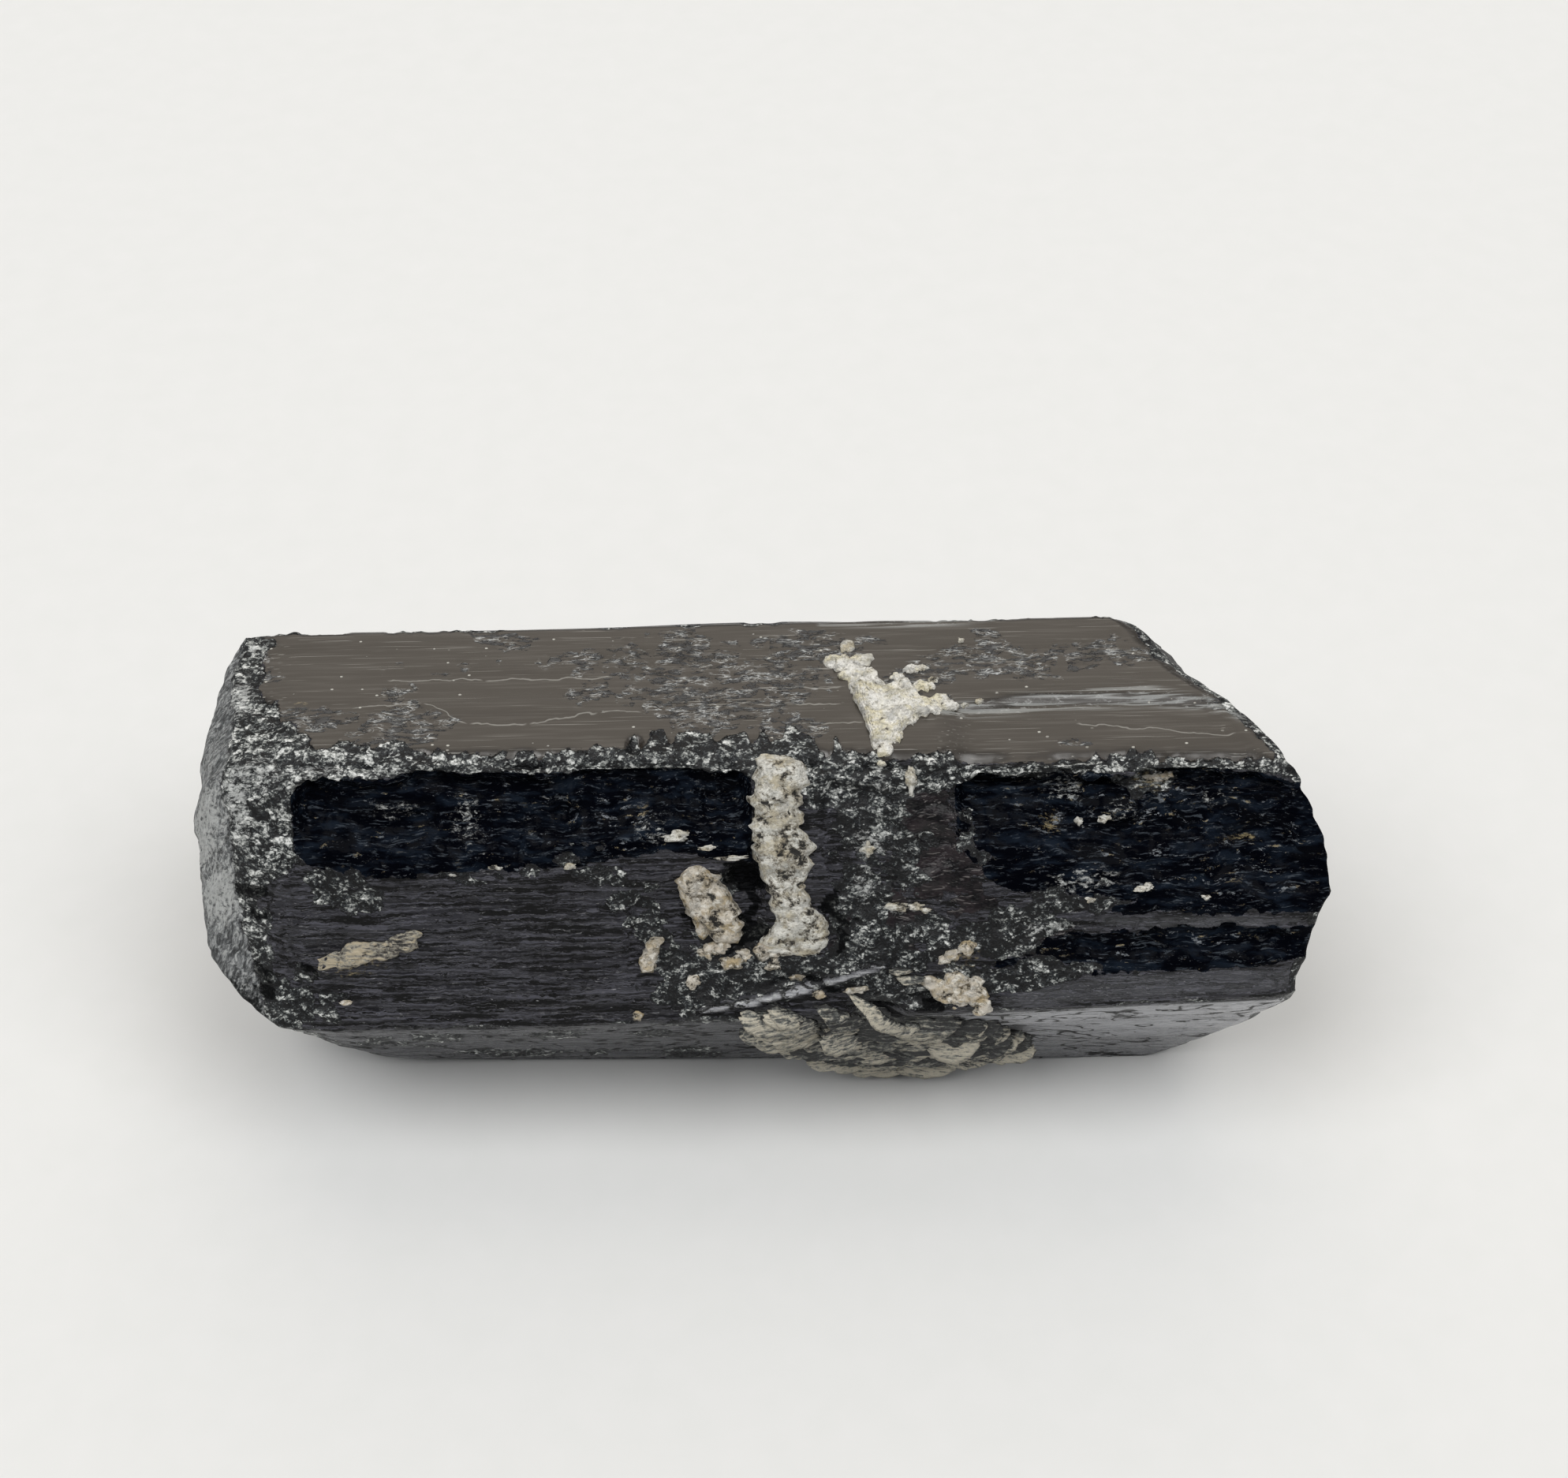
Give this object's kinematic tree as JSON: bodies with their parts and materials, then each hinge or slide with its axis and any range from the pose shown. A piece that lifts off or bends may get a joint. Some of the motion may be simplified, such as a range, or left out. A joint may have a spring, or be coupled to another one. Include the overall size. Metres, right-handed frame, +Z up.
{
  "type": "black tourmaline crystal",
  "caption": "Stout prismatic crystal of black tourmaline lying on a long face, both ends broken, with feldspar and mica grown into its upper front faces.",
  "frame": {"origin": "under the middle of the specimen, on the surface it lies on", "axes": "+X along the crystal towards its slanting broken end, -Y towards the side with the feldspar vein, +Z up"},
  "size_m": [0.0752, 0.031, 0.0309],
  "materials": {
    "schorl": "glassy black with fine lengthwise striations, dull where broken",
    "feldspar": "matt cream to tan, granular with small cleavage glints",
    "mica": "flaky grey-brown with a pearly sheen"
  },
  "bodies": {
    "root": {"tourmaline_crystal": "schorl", "feldspar_vein": "feldspar", "feldspar_patch": "feldspar", "feldspar_chip": "feldspar", "feldspar_crust": "feldspar", "feldspar_flake": "feldspar", "mica_cluster": "mica", "mica_streak": "mica"}
  },
  "joints": []
}
